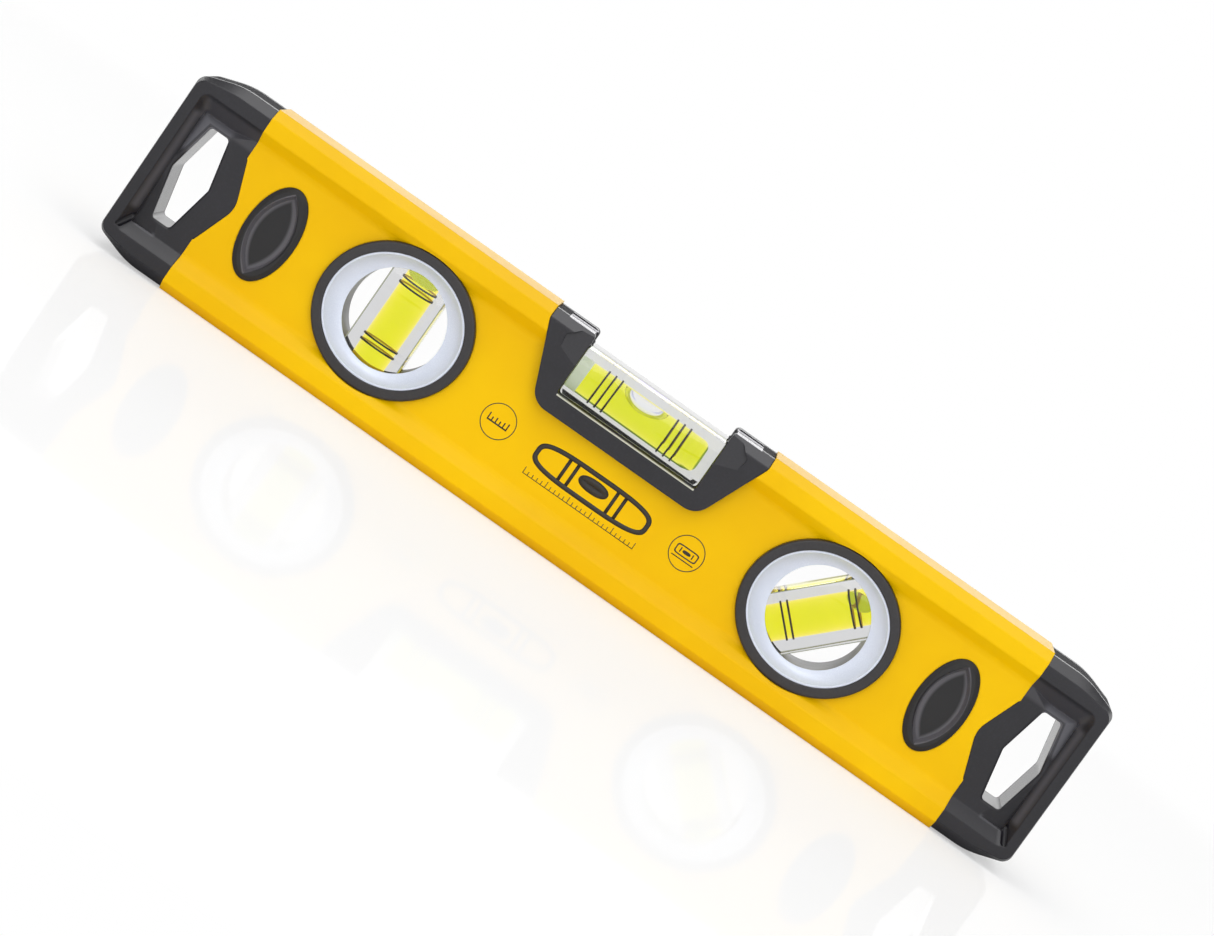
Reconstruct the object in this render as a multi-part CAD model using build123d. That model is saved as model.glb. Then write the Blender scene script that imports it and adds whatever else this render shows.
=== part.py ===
from build123d import *
import math
import os

# Spirit level: an aluminium box profile with two end caps, a horizontal vial in a notch at the top, and an
# upright and a 45 degree vial in two oval windows.
# Frame: +X along the length, -Y out of the front face, +Z up. The origin is the middle of the bottom face.
# Lengths in mm, angles in degrees.

# ---- Profile: the box section, given as half widths (y) and heights above or below mid height (dz) ----
LENGTH = 250.0
HEIGHT = 48.7
MID_Z = HEIGHT / 2
RIB_Y = 11.0
WEB_Y = 8.0
FACE_Y = 8.3
CHAMFER_DZ = 2.25
RIB_DZ = 18.4
WEB_DZ = 15.4
SECTION_R = (0.4, 0.5, 0.8, 2.0)
WALL = 1.6
PROFILE_X = 106.0

# ---- End caps ----
CAP_LIP = 0.5
CAP_DZ = MID_Z - CAP_LIP
CAP_SHOULDER_X = 115.6
CAP_DROP = 3.1
CAP_SHOULDER_R = 20.0
CAP_CORNER_R = 2.6
CAP_END_CHAMFER = 0.5
RECESS_X = 119.7
RECESS_RIM_X = 122.0
RECESS_CORNER_R = (2.4, 1.2)
FALL_DEPTH = 1.15
FALL_CREST = ((111.6, 12.75), (117.15, 12.75), (RECESS_X, 1.3))
FALL_FOOT_X = 112.4
FALL_END_SLOPE = 0.52
FACET_DEPTH = 1.1
FACET_LOW_DZ = 2.0
FACET_HIGH_X = 113.5
FACET_SLACK = 0.2
GROOVE_R = 0.85
GROOVE_ENDS = ((0.2, 14.4), (1.8, 17.2))
LOBE_TIP_X = 101.77
LOBE_DZ = 11.4
LOBE_R = 6.5
LOBE_NECK_R = 1.5
LOBE_ROOT = 3.0
HEX_X = 114.1
HEX_MID_HALF = 4.95
HEX_END_HALF = 2.4
HEX_DZ = 12.15
HEX_R = 1.0
HEX_EDGE = 0.35
STUB_X = 84.0
STUB_GAP = 0.12
STUB_WALL = 2.2

# ---- Oval inserts ----
OVAL_X = 92.1
OVAL_HALF = 6.4
OVAL_DZ = 12.0
OVAL_FACE_Y = 8.8
OVAL_BACK_Y = 4.2
OVAL_BAND = (1.1, 0.5)
LENS_MOUTH = (4.9, 10.5)
LENS_FLOOR = (4.2, 9.6)
LENS_DEPTH = 1.5

# ---- Vial holder in the top notch ----
HOLDER_HALF = 29.75
HOLDER_KNEE_Z = 45.65
HOLDER_FOOT_HALF = 22.25
HOLDER_FOOT_Z = 27.8
HOLDER_KNEE_R = 3.0
HOLDER_FOOT_R = 5.0
HOLDER_Y = 10.8
HOLDER_TOP_Z = HEIGHT - CAP_LIP
HOLDER_EDGE_R = (0.5, 0.4)
EAR_R = 1.2
EAR_FACET_LOW_DZ = 15.4
EAR_FACET_OUTER = (24.2, 17.3)
EAR_FACET_SHOULDER = (24.7, 20.3)
EAR_FACET_TOP = (21.9, 22.85)
EAR_FACET_TOP_Y = 9.4
EAR_FACET_R = 0.6
EAR_RIDGE_HALF_Y = 0.9
EAR_RIDGE_RISE = 0.35
EAR_RIDGE_X = 26.3
POCKET_HALF = 18.9
POCKET_R = 1.0
BED_Z = 32.9
BED_Y = 7.8
LIP_DROP = (0.25, 0.7)
NIB_R = 0.3

# ---- Horizontal vial ----
BLOCK_HALF = 18.7
BLOCK_TOP_Z = 44.85
BLOCK_Y = 9.25
BLOCK_CORNER = 0.8
BLOCK_EDGE = 0.3
LEVEL_Z = 38.1
LEVEL_BORE_R = 3.95
LEVEL_BORE_X = (-15.7, 16.0)
LEVEL_PLUG_X = -18.5
LEVEL_MARK_X = -0.75
LEVEL_MARKS = (7.55, 9.35, 11.15)
LEVEL_BUBBLE_X = -1.35
LEVEL_BUBBLE_HALF = 5.75
LEVEL_BUBBLE_R = 3.3
LEVEL_BUBBLE_RISE = 3.75

# ---- Oval windows with the upright and the 45 degree vial ----
WINDOW_X = 58.25
BEZEL_HALF = 19.1
BEZEL_DZ = 17.55
BEZEL_FACE_Y = 9.6
BEZEL_BACK_Y = 4.6
BEZEL_EDGE = 0.5
BEAD_RISE = 0.5
BEAD_Y = (5.5, 6.3)
DISH_HALF = 16.7
DISH_DZ = 15.06
DISH_FACE_Y = 9.35
DISH_RIM = 0.45
DISH_MID = (14.3, 13.35, 7.35)
WINDOW_R = 12.0
WINDOW_EDGE_Y = 6.3
TUBE_R = 13.2
BAR_HALF_WIDTH = 7.2
BAR_END_R = 15.0
BAR_Y = 5.2
BAR_GAP = 0.08
BAR_EDGE = 0.25
BORE_R = 4.25
BORE_HALF = 12.4
MARK_SHIFT = 0.6
WINDOW_MARKS = (6.95, 8.45)
PLUMB_TILT = 90.0
ANGLE_TILT = 45.0
PLUMB_BUBBLE = (3.9, 1.45)
ANGLE_BUBBLE = (3.2, 1.9)

# ---- Vials in general ----
BORE_END = 1.0
BORE_SAG = 0.06
MARK_WIDTH = 0.42
MARK_DEPTH = 0.28
SEAT = 0.03
FIT = 0.05
BUBBLE_WALL = 0.25
BUBBLE_GAP = 0.1

# ---- Reach of the cuts, beyond the surfaces they open ----
THROUGH_Y = 2 * RIB_Y
ABOVE_Z = HEIGHT + WALL
BEYOND = 1.0

SIDES = {"left": -1, "right": 1}
FACES = {"front": -1, "rear": 1}


# ---------------------------------------------------------------- helpers
def outline(points, radii=0.0):
    """Closed flat outline with a radius at each corner; 0 leaves the corner sharp."""
    return make_face(FilletPolyline(*points, radius=radii, close=True))


def on_front(shape, y):
    """Stand a flat outline of (x, z) points up in the plane at this y."""
    return Plane.XZ.offset(-y) * shape


def between(shape, y_from, y_to):
    """Extrude a flat outline of (x, z) points from one y to another."""
    return extrude(on_front(shape, max(y_from, y_to)), abs(y_to - y_from), dir=(0, -1, 0))


def joined(shape_a, y_a, shape_b, y_b):
    """Straight-sided solid between two outlines at two values of y."""
    return loft([on_front(shape_a, y_a), on_front(shape_b, y_b)], ruled=True)


def mirrored_in_x(shape):
    return mirror(shape, about=Plane.YZ)


def facing(shape, face):
    """Turn a piece built for the front face to the rear face."""
    return shape if face < 0 else mirror(shape, about=Plane.XZ)


def on_side(shape, side):
    """Turn a piece built for the right end to the left end."""
    return shape if side > 0 else mirrored_in_x(shape)


def four_corners(quarter):
    """Closed loop of points from those of the upper right quarter, listed clockwise from the top."""
    right = quarter + [(a, -b) for a, b in reversed(quarter)]
    return right + [(-a, b) for a, b in reversed(right)]


# ---------------------------------------------------------------- profile
def box_section():
    """Outer section of the profile in (y, dz), with its rib, slope and web."""
    quarter = [(FACE_Y, MID_Z), (RIB_Y, MID_Z - CHAMFER_DZ), (RIB_Y, RIB_DZ), (WEB_Y, WEB_DZ)]
    half = [*SECTION_R, *SECTION_R[::-1]]
    return outline(four_corners(quarter), half + half)


def stretched(section, x_from, x_to):
    """Extrude a (y, dz) section along X."""
    across = Plane(origin=(x_from, 0, MID_Z), x_dir=(0, 1, 0), z_dir=(1, 0, 0))
    return extrude(across * section, x_to - x_from, dir=(1, 0, 0))


def holder_outline(gap=0.0):
    """Front outline of the holder, which the notch of the profile repeats with a gap."""
    right = [
        (HOLDER_HALF + gap, ABOVE_Z),
        (HOLDER_HALF + gap, HOLDER_KNEE_Z),
        (HOLDER_FOOT_HALF + gap, HOLDER_FOOT_Z - gap),
    ]
    rounds = [0.0, HOLDER_KNEE_R, HOLDER_FOOT_R]
    return outline(right + [(-x, z) for x, z in reversed(right)], rounds + rounds[::-1])


def lobe_outline(gap=0.0):
    """Tongue of the right cap that reaches into the web."""
    points = [
        (PROFILE_X + LOBE_ROOT, LOBE_DZ + gap),
        (PROFILE_X - gap, LOBE_DZ + gap),
        (LOBE_TIP_X - gap, 0),
        (PROFILE_X - gap, -LOBE_DZ - gap),
        (PROFILE_X + LOBE_ROOT, -LOBE_DZ - gap),
    ]
    return Pos(0, MID_Z) * outline(points, [0, LOBE_NECK_R, LOBE_R, LOBE_NECK_R, 0])


def window_cut(half, dz):
    return between(Pos(0, MID_Z) * Ellipse(half, dz), -THROUGH_Y, THROUGH_Y)


def profile():
    section = box_section()
    body = stretched(section - offset(section, -WALL, kind=Kind.INTERSECTION), -PROFILE_X, PROFILE_X)
    body -= between(holder_outline(FIT), -THROUGH_Y, THROUGH_Y)
    lobe = between(lobe_outline(FIT), -THROUGH_Y, THROUGH_Y)
    for side in SIDES.values():
        body -= Pos(side * WINDOW_X, 0, 0) * window_cut(BEZEL_HALF + FIT, BEZEL_DZ + FIT)
        body -= Pos(side * OVAL_X, 0, 0) * window_cut(OVAL_HALF + FIT, OVAL_DZ + FIT)
        body -= on_side(lobe, side)
    return body


# ---------------------------------------------------------------- end caps
def cap_outline(inset_z, inset_x):
    """Front outline of the right cap, drawn in by the chamfer along it and less at its end."""
    top = CAP_DZ - inset_z
    end = (LENGTH / 2 - inset_x, CAP_DZ - CAP_DROP - inset_x)
    upper = [(PROFILE_X, top), (CAP_SHOULDER_X, top), end]
    rounds = [0, CAP_SHOULDER_R, CAP_CORNER_R]
    lower = [(x, -z) for x, z in reversed(upper)]
    return Pos(0, MID_Z) * outline(upper + lower, rounds + rounds[::-1])


def recess_outline(half_dz, end_x, radius):
    start = PROFILE_X - BEYOND
    points = [(start, half_dz), (end_x, half_dz), (end_x, -half_dz), (start, -half_dz)]
    return Pos(0, MID_Z) * outline(points, [0, radius, radius, 0])


def hex_outline(grow=0.0):
    """Tall six-sided hanging hole with rounded corners."""
    right = [
        (HEX_END_HALF + grow, HEX_DZ + grow),
        (HEX_MID_HALF + grow, 0),
        (HEX_END_HALF + grow, -HEX_DZ - grow),
    ]
    left = [(-x, z) for x, z in reversed(right)]
    rounds = [HEX_R, 2 * HEX_R, HEX_R]
    return Pos(HEX_X, MID_Z) * outline(right + left, rounds + rounds)


def panel_fall():
    """Upper part of the panel, which falls away from a crest round the hanging hole to the foot of the slopes."""
    deep_y = -WEB_Y + FALL_DEPTH
    foot_dz = WEB_DZ - FALL_DEPTH
    (left_x, crest_dz), (right_x, _), (end_x, end_dz) = FALL_CREST
    lean = (end_x - right_x) / (crest_dz - end_dz)
    start_x = PROFILE_X - BEYOND

    def kept(corner_x, far_x, dz):
        """Panel that stays: below the level dz between two corners, and below the slopes on either side."""
        side_x = far_x + lean * dz
        level = [(start_x, dz + (corner_x - start_x) * FALL_END_SLOPE), (corner_x, dz), (far_x, dz)]
        return Pos(0, MID_Z) * outline(level + [(side_x, 0), (side_x, -MID_Z), (start_x, -MID_Z)])

    floor = recess_outline(WEB_DZ, RECESS_X, RECESS_CORNER_R[1])
    foot = recess_outline(foot_dz, RECESS_X, RECESS_CORNER_R[1])
    hollow = joined(floor, -WEB_Y, foot, deep_y)
    return hollow - joined(kept(left_x, right_x, crest_dz), -WEB_Y, kept(FALL_FOOT_X, RECESS_X, foot_dz), deep_y)


def corner_facet():
    """Flat that falls away from the hanging hole to the lower outer corner of the recess."""
    low = Vector(RECESS_X, -WEB_Y, MID_Z - FACET_LOW_DZ)
    high = Vector(FACET_HIGH_X, -WEB_Y, MID_Z - WEB_DZ)
    corner = Vector(RECESS_X, -WEB_Y + FACET_DEPTH, MID_Z - WEB_DZ)
    flat = [(low.X, low.Z), (RECESS_X, corner.Z), (high.X, high.Z)]
    normal = (corner - low).cross(high - low).normalized()
    if normal.Y > 0:
        normal = normal * -1
    wedge = between(outline(flat), -WEB_Y - FACET_SLACK, -WEB_Y + FACET_DEPTH + FACET_SLACK)
    return split(wedge, bisect_by=Plane(origin=low, z_dir=normal), keep=Keep.TOP)


def corner_groove():
    """Round-bottomed groove in the end slope of the recess, beside its lower corner."""
    steepness = (RIB_Y - WEB_Y) / (RECESS_RIM_X - RECESS_X)
    foot, rim = [Vector(RECESS_X + run, -WEB_Y - run * steepness, MID_Z - dz) for run, dz in GROOVE_ENDS]
    way = rim - foot
    rod = Plane(origin=foot, z_dir=way) * Cylinder(
        GROOVE_R, way.length, align=(Align.CENTER, Align.CENTER, Align.MIN)
    )
    return rod + Pos(foot) * Sphere(GROOVE_R) + Pos(rim) * Sphere(GROOVE_R)


def cap_recess():
    """Recessed panel on the front of the right cap, at the level of the web, with sloping sides."""
    rise = RIB_Y - WEB_Y
    slope_x = (RECESS_RIM_X - RECESS_X) / rise
    slope_z = (RIB_DZ - WEB_DZ) / rise
    mouth_r, floor_r = RECESS_CORNER_R
    mouth = recess_outline(RIB_DZ + slope_z * BEYOND, RECESS_RIM_X + slope_x * BEYOND, mouth_r)
    return joined(mouth, -RIB_Y - BEYOND, recess_outline(WEB_DZ, RECESS_X, floor_r), -WEB_Y)


def cap_stub():
    """Hollow stub that fills the profile behind the cap and is locked by the oval inserts."""
    bore = offset(box_section(), -WALL, kind=Kind.INTERSECTION)
    outer = offset(bore, -STUB_GAP, kind=Kind.INTERSECTION)
    inner = offset(outer, -STUB_WALL, kind=Kind.INTERSECTION)
    stub = stretched(outer, STUB_X, PROFILE_X) - stretched(inner, STUB_X, PROFILE_X - STUB_WALL)
    return stub - Pos(OVAL_X, 0, 0) * window_cut(OVAL_HALF + STUB_GAP, OVAL_DZ + STUB_GAP)


def end_cap(side):
    shell = between(cap_outline(0, 0), -FACE_Y, FACE_Y)
    for face in FACES.values():
        shell += facing(
            joined(cap_outline(CHAMFER_DZ, CAP_END_CHAMFER), -RIB_Y, cap_outline(0, 0), -FACE_Y), face
        )
    shell += between(lobe_outline(), -WEB_Y, WEB_Y)
    shell += cap_stub()
    recess = cap_recess() + panel_fall() + corner_facet()
    groove = corner_groove()
    mouth = joined(hex_outline(2 * HEX_EDGE), -WEB_Y - HEX_EDGE, hex_outline(), -WEB_Y + HEX_EDGE)
    for face in FACES.values():
        shell -= facing(recess, face)
        shell -= facing(groove, face)
        shell -= facing(mouth, face)
    shell -= between(hex_outline(), -THROUGH_Y, THROUGH_Y)
    return on_side(shell, side)


# ---------------------------------------------------------------- oval inserts
def lens(half, dz):
    """Pointed oval of two arcs."""
    right = ThreePointArc((0, dz), (half, 0), (0, -dz))
    left = ThreePointArc((0, -dz), (-half, 0), (0, dz))
    return make_face([right, left])


def oval_insert(side, face):
    band, fall = OVAL_BAND
    plug = between(Ellipse(OVAL_HALF, OVAL_DZ), -OVAL_FACE_Y + fall, -OVAL_BACK_Y)
    plug += joined(
        Ellipse(OVAL_HALF - band, OVAL_DZ - band), -OVAL_FACE_Y, Ellipse(OVAL_HALF, OVAL_DZ), -OVAL_FACE_Y + fall
    )
    plug -= joined(lens(*LENS_MOUTH), -OVAL_FACE_Y, lens(*LENS_FLOOR), -OVAL_FACE_Y + LENS_DEPTH)
    return facing(Pos(side * OVAL_X, 0, MID_Z) * plug, face)


# ---------------------------------------------------------------- vial holder
def pocket_outline(floor_z):
    right = [(POCKET_HALF, floor_z), (POCKET_HALF, ABOVE_Z)]
    left = [(-x, z) for x, z in reversed(right)]
    return outline(left + right, [0, POCKET_R, POCKET_R, 0])


def ear_mouth():
    """Opening above the pocket, whose sides round over onto the tops of the ears."""
    reach = POCKET_HALF + 2 * EAR_R
    right = [
        (POCKET_HALF, HOLDER_TOP_Z - 2 * EAR_R),
        (POCKET_HALF, HOLDER_TOP_Z),
        (reach, HOLDER_TOP_Z),
        (reach, ABOVE_Z),
    ]
    left = [(-x, z) for x, z in reversed(right)]
    rounds = [0, EAR_R, 0, 0]
    return between(outline(left + right, rounds[::-1] + rounds), -THROUGH_Y, THROUGH_Y)


def ear_facet():
    """Five-sided flat that leans back across the inner half of the right ear, on the front."""
    outer_x, outer_dz = EAR_FACET_OUTER
    shoulder_x, shoulder_dz = EAR_FACET_SHOULDER
    top_x, top_dz = EAR_FACET_TOP
    low = Vector(POCKET_HALF, -HOLDER_Y, MID_Z + EAR_FACET_LOW_DZ)
    outer = Vector(outer_x, -HOLDER_Y, MID_Z + outer_dz)
    top = Vector(top_x, -EAR_FACET_TOP_Y, MID_Z + top_dz)
    slope = (outer.Z - low.Z) / (outer.X - low.X)
    inner_x = POCKET_HALF - BEYOND
    points = [
        (inner_x, low.Z - slope * BEYOND),
        (outer_x, outer.Z),
        (shoulder_x, MID_Z + shoulder_dz),
        (top_x, top.Z),
        (top_x, ABOVE_Z),
        (inner_x, ABOVE_Z),
    ]
    normal = (outer - low).cross(top - low).normalized()
    if normal.Y > 0:
        normal = normal * -1
    wedge = between(outline(points, [0, EAR_FACET_R, EAR_FACET_R, 0, 0, 0]), -THROUGH_Y, -FACE_Y + BEYOND)
    return split(wedge, bisect_by=Plane(origin=low, z_dir=normal), keep=Keep.TOP)


def ear_ridge(side):
    """Low ridge along the top of an ear, on the parting line."""
    top = HOLDER_TOP_Z + EAR_RIDGE_RISE
    foot = HOLDER_TOP_Z - 2 * EAR_R
    points = [(POCKET_HALF, foot), (POCKET_HALF, top), (EAR_RIDGE_X, top), (EAR_RIDGE_X, foot)]
    ridge = between(outline(points, [0, EAR_R, EAR_RIDGE_RISE, 0]), -EAR_RIDGE_HALF_Y, EAR_RIDGE_HALF_Y)
    return on_side(ridge, side)


def vial_holder():
    side_r, top_r = HOLDER_EDGE_R
    right = [(HOLDER_Y, 0), (HOLDER_Y, CAP_DZ - CHAMFER_DZ), (FACE_Y, CAP_DZ)]
    limits = outline(right + [(-y, dz) for y, dz in reversed(right)], [0, side_r, top_r, top_r, side_r, 0])
    body = between(holder_outline(), -HOLDER_Y, HOLDER_Y)
    body &= stretched(limits, -HOLDER_HALF - BEYOND, HOLDER_HALF + BEYOND)
    body -= between(pocket_outline(BED_Z), -BED_Y, BED_Y)
    for face in FACES.values():
        shallow, deep = LIP_DROP
        lip = joined(pocket_outline(BED_Z - deep), -HOLDER_Y - BEYOND, pocket_outline(BED_Z - shallow), -BED_Y)
        body -= facing(lip, face)
    body -= ear_mouth()
    for side in SIDES.values():
        for face in FACES.values():
            body -= facing(on_side(ear_facet(), side), face)
        body += ear_ridge(side)
        nib = Pos(side * POCKET_HALF, 0, BLOCK_TOP_Z + NIB_R) * Rot(90, 0, 0) * Cylinder(NIB_R, 2 * BED_Y)
        body += nib
    return body


# ---------------------------------------------------------------- vials
def bore_solid(radius, x_from, x_to, end=BORE_END):
    """Barrel-shaped bore along X: widest at its middle, so that a bubble comes to rest there."""
    waist = radius - BORE_SAG
    rim = [(x_from, 0), (x_from, waist - end), (x_from + end, waist)]
    far = [(x_to - end, waist), (x_to, waist - end), (x_to, 0)]
    wall = ThreePointArc(rim[-1], ((x_from + x_to) / 2, radius), far[0])
    section = make_face([Polyline(*rim), wall, Polyline(*far), Line(far[-1], rim[0])])
    return revolve(section, Axis.X)


def rod(radius, x_from, x_to):
    """Cylinder along X."""
    return Pos((x_from + x_to) / 2, 0, 0) * Rot(0, 90, 0) * Cylinder(radius, x_to - x_from)


def ring(radius, depth, width, x):
    """Flat ring round the X axis."""
    return rod(radius + depth, x - width / 2, x + width / 2) - rod(radius, x - width / 2, x + width / 2)


def mark_places(centre, offsets):
    return sorted(centre + sign * value for value in offsets for sign in (-1, 1))


def bored(block, bore, bore_r, plug_from, bore_from, marks):
    """Cut the bore, the seat of its plug and the grooves of its marks from a block."""
    body = block - bore
    body -= rod(bore_r, plug_from - BEYOND, bore_from + BORE_END)
    for x in marks:
        body -= ring(bore_r - 2 * BORE_SAG, MARK_DEPTH + 2 * BORE_SAG + SEAT, MARK_WIDTH + 2 * SEAT, x)
    return body


def mark_rings(bore_r, marks):
    rings = [ring(bore_r + SEAT, MARK_DEPTH - SEAT, MARK_WIDTH, x) for x in marks]
    return Compound(rings)


def spheroid(half_width, half_height):
    """Spheroid about the Z axis."""
    return scale(Sphere(1), by=(half_width, half_width, half_height))


def level_vial_pieces():
    """Pieces of the horizontal vial; its bore runs along X at LEVEL_Z."""
    x_from, x_to = LEVEL_BORE_X
    marks = mark_places(LEVEL_MARK_X, LEVEL_MARKS)
    place = Pos(0, 0, LEVEL_Z)
    low = BED_Z - LEVEL_Z
    high = BLOCK_TOP_Z - LEVEL_Z
    block = Pos(0, 0, (low + high) / 2) * Box(2 * BLOCK_HALF, 2 * BLOCK_Y, high - low)
    low_corners = block.edges().filter_by(Axis.Y).group_by(Axis.Z)[0]
    block = chamfer(low_corners, BLOCK_CORNER)
    block = chamfer(block.edges().filter_by(Axis.X), BLOCK_EDGE)
    bubble = Pos(LEVEL_BUBBLE_X, 0, LEVEL_BUBBLE_RISE) * Rot(0, 90, 0)
    wall_r = LEVEL_BORE_R - BORE_SAG - BUBBLE_WALL
    air = bubble * spheroid(LEVEL_BUBBLE_R, LEVEL_BUBBLE_HALF) & rod(wall_r, x_from, x_to)
    room = bubble * spheroid(LEVEL_BUBBLE_R + BUBBLE_GAP, LEVEL_BUBBLE_HALF + BUBBLE_GAP)
    room &= rod(wall_r + BUBBLE_GAP / 2, x_from, x_to)
    bore = bore_solid(LEVEL_BORE_R, x_from, x_to)
    liquid = bore_solid(LEVEL_BORE_R - SEAT, x_from + SEAT, x_to - SEAT) - room
    return {
        "level_vial": place * bored(block, bore, LEVEL_BORE_R, -BLOCK_HALF, x_from, marks),
        "level_plug": place * rod(LEVEL_BORE_R - SEAT, LEVEL_PLUG_X, x_from),
        "level_liquid": place * liquid,
        "level_bubble": place * air,
        "level_marks": place * mark_rings(LEVEL_BORE_R, marks),
    }


def bar_outline(grow=0.0):
    """Bar of a window vial along X: straight sides and rounded ends."""
    half = BAR_HALF_WIDTH + grow
    return Circle(BAR_END_R + grow) & Rectangle(3 * BAR_END_R, 2 * half)


def along_vial(shape, x, tilt):
    """Place a piece built along X on the axis of a window vial."""
    return Pos(x, 0, MID_Z) * Rot(0, -tilt, 0) * shape


def window_bubble(kind):
    """Bubble at the upper end of a window vial, about the middle of the window."""
    end = BORE_HALF - BUBBLE_WALL
    if kind == "plumb":
        half_width, half_height = PLUMB_BUBBLE
        return (half_width, half_height), Pos(0, 0, end - half_height)
    half_width, half_height = ANGLE_BUBBLE
    reach = math.hypot(half_width, half_height) / math.sqrt(2)
    along = end - reach
    across = BORE_R - BORE_SAG - BUBBLE_WALL - reach
    half_turn = math.sqrt(0.5)
    return (half_width, half_height), Pos((along - across) * half_turn, 0, (along + across) * half_turn)


def window_vial_pieces(kind, x, tilt):
    """Bar, plug, liquid, bubble and marks of a window vial; the upper end is +X before the tilt."""
    marks = mark_places(MARK_SHIFT, WINDOW_MARKS)
    bar = between(bar_outline(), -BAR_Y, BAR_Y)
    bar = chamfer(bar.faces().filter_by(Axis.Y).edges(), BAR_EDGE)
    bore = bore_solid(BORE_R, -BORE_HALF, BORE_HALF)
    (half_width, half_height), centre = window_bubble(kind)
    place = Pos(x, 0, MID_Z) * centre
    air = place * spheroid(half_width, half_height)
    room = place * spheroid(half_width + BUBBLE_GAP, half_height + BUBBLE_GAP)
    filling = bore_solid(BORE_R - SEAT, -BORE_HALF + SEAT, BORE_HALF - SEAT)
    plug = rod(BORE_R - SEAT, -BAR_END_R + BAR_EDGE * 2, -BORE_HALF)
    return {
        f"{kind}_vial": along_vial(bored(bar, bore, BORE_R, -BAR_END_R, -BORE_HALF, marks), x, tilt),
        f"{kind}_plug": along_vial(plug, x, tilt),
        f"{kind}_liquid": along_vial(filling, x, tilt) - room,
        f"{kind}_bubble": air,
        f"{kind}_marks": along_vial(mark_rings(BORE_R, marks), x, tilt),
    }


# ---------------------------------------------------------------- window rings
def bezel(x, face):
    """Black oval ring that fills the hole in the web; a bead behind the web holds it."""
    outer = between(Ellipse(BEZEL_HALF, BEZEL_DZ), -BEZEL_FACE_Y, -BEZEL_BACK_Y)
    front_edge = outer.faces().sort_by(Axis.Y)[0].edges()
    outer = fillet(front_edge, BEZEL_EDGE)
    outer += between(Ellipse(BEZEL_HALF + BEAD_RISE, BEZEL_DZ + BEAD_RISE), -BEAD_Y[1], -BEAD_Y[0])
    hole = between(Ellipse(DISH_HALF + FIT, DISH_DZ + FIT), -THROUGH_Y, 0)
    return facing(Pos(x, 0, MID_Z) * (outer - hole), face)


def dish(x, face, tilt):
    """Pale ring dished down to the round window, with half of the window's tube and of the bar's seat."""
    body = between(Ellipse(DISH_HALF, DISH_DZ), -DISH_FACE_Y, -BEZEL_BACK_Y)
    body += between(Circle(TUBE_R), -WINDOW_EDGE_Y, 0)
    body -= between(Circle(WINDOW_R), -THROUGH_Y, RIB_Y)
    mid_half, mid_dz, mid_y = DISH_MID
    body -= loft(
        [
            on_front(Ellipse(DISH_HALF - DISH_RIM, DISH_DZ - DISH_RIM), -DISH_FACE_Y),
            on_front(Ellipse(mid_half, mid_dz), -mid_y),
            on_front(Circle(WINDOW_R), -WINDOW_EDGE_Y),
        ]
    )
    body = Pos(x, 0, MID_Z) * body
    body -= along_vial(between(bar_outline(BAR_GAP), -BAR_Y - BAR_GAP, BAR_Y), x, tilt)
    return facing(body, face)


# ---------------------------------------------------------------- all pieces
def build():
    pieces = {"profile": profile(), "vial_holder": vial_holder()}
    for side_name, side in SIDES.items():
        pieces[f"end_cap_{side_name}"] = end_cap(side)
        for face_name, face in FACES.items():
            pieces[f"oval_insert_{face_name}_{side_name}"] = oval_insert(side, face)
    pieces |= level_vial_pieces()
    for kind, x, tilt in (("plumb", -WINDOW_X, PLUMB_TILT), ("angle", WINDOW_X, ANGLE_TILT)):
        pieces |= window_vial_pieces(kind, x, tilt)
        for face_name, face in FACES.items():
            pieces[f"{kind}_bezel_{face_name}"] = bezel(x, face)
            pieces[f"{kind}_dish_{face_name}"] = dish(x, face, tilt)
    return pieces


os.makedirs("parts", exist_ok=True)
for name, piece in build().items():
    export_step(piece, f"parts/{name}.step")
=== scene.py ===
import logging
import math
from dataclasses import dataclass, replace
from enum import Enum
from typing import Any, Callable, Mapping, Sequence

import bpy
import numpy as np
from mathutils import Matrix, Vector


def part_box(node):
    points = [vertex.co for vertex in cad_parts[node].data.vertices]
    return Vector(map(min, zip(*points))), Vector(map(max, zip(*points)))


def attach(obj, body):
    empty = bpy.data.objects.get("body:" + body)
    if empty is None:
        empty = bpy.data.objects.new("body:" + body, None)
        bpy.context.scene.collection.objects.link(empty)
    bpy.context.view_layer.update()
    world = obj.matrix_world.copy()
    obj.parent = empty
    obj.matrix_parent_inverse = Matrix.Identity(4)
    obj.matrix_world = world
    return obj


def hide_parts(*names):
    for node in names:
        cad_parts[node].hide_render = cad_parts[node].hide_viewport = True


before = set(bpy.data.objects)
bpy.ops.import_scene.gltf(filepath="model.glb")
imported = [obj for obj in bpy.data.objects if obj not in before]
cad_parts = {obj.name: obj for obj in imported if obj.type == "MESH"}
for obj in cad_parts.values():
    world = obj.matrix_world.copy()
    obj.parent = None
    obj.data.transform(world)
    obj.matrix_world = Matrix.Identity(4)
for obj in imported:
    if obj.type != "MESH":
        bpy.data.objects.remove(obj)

# Looks of a spirit level. Lengths in the classes are millimetres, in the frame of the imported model:
# +X along the level, -Y out of its front face, +Z up, origin in the middle of its bottom face.

LOG = logging.getLogger("spirit_level")
MM = 0.001
CASING = "casing"
PLASTIC_IOR = 1.5
# Steeper edges are shaded sharp; a disc keeps a pinhole in its middle; a narrow border blends two finishes.
SHARP_EDGE = math.radians(32)
NEARLY_FULL = 0.999
NARROW = 0.08
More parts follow.
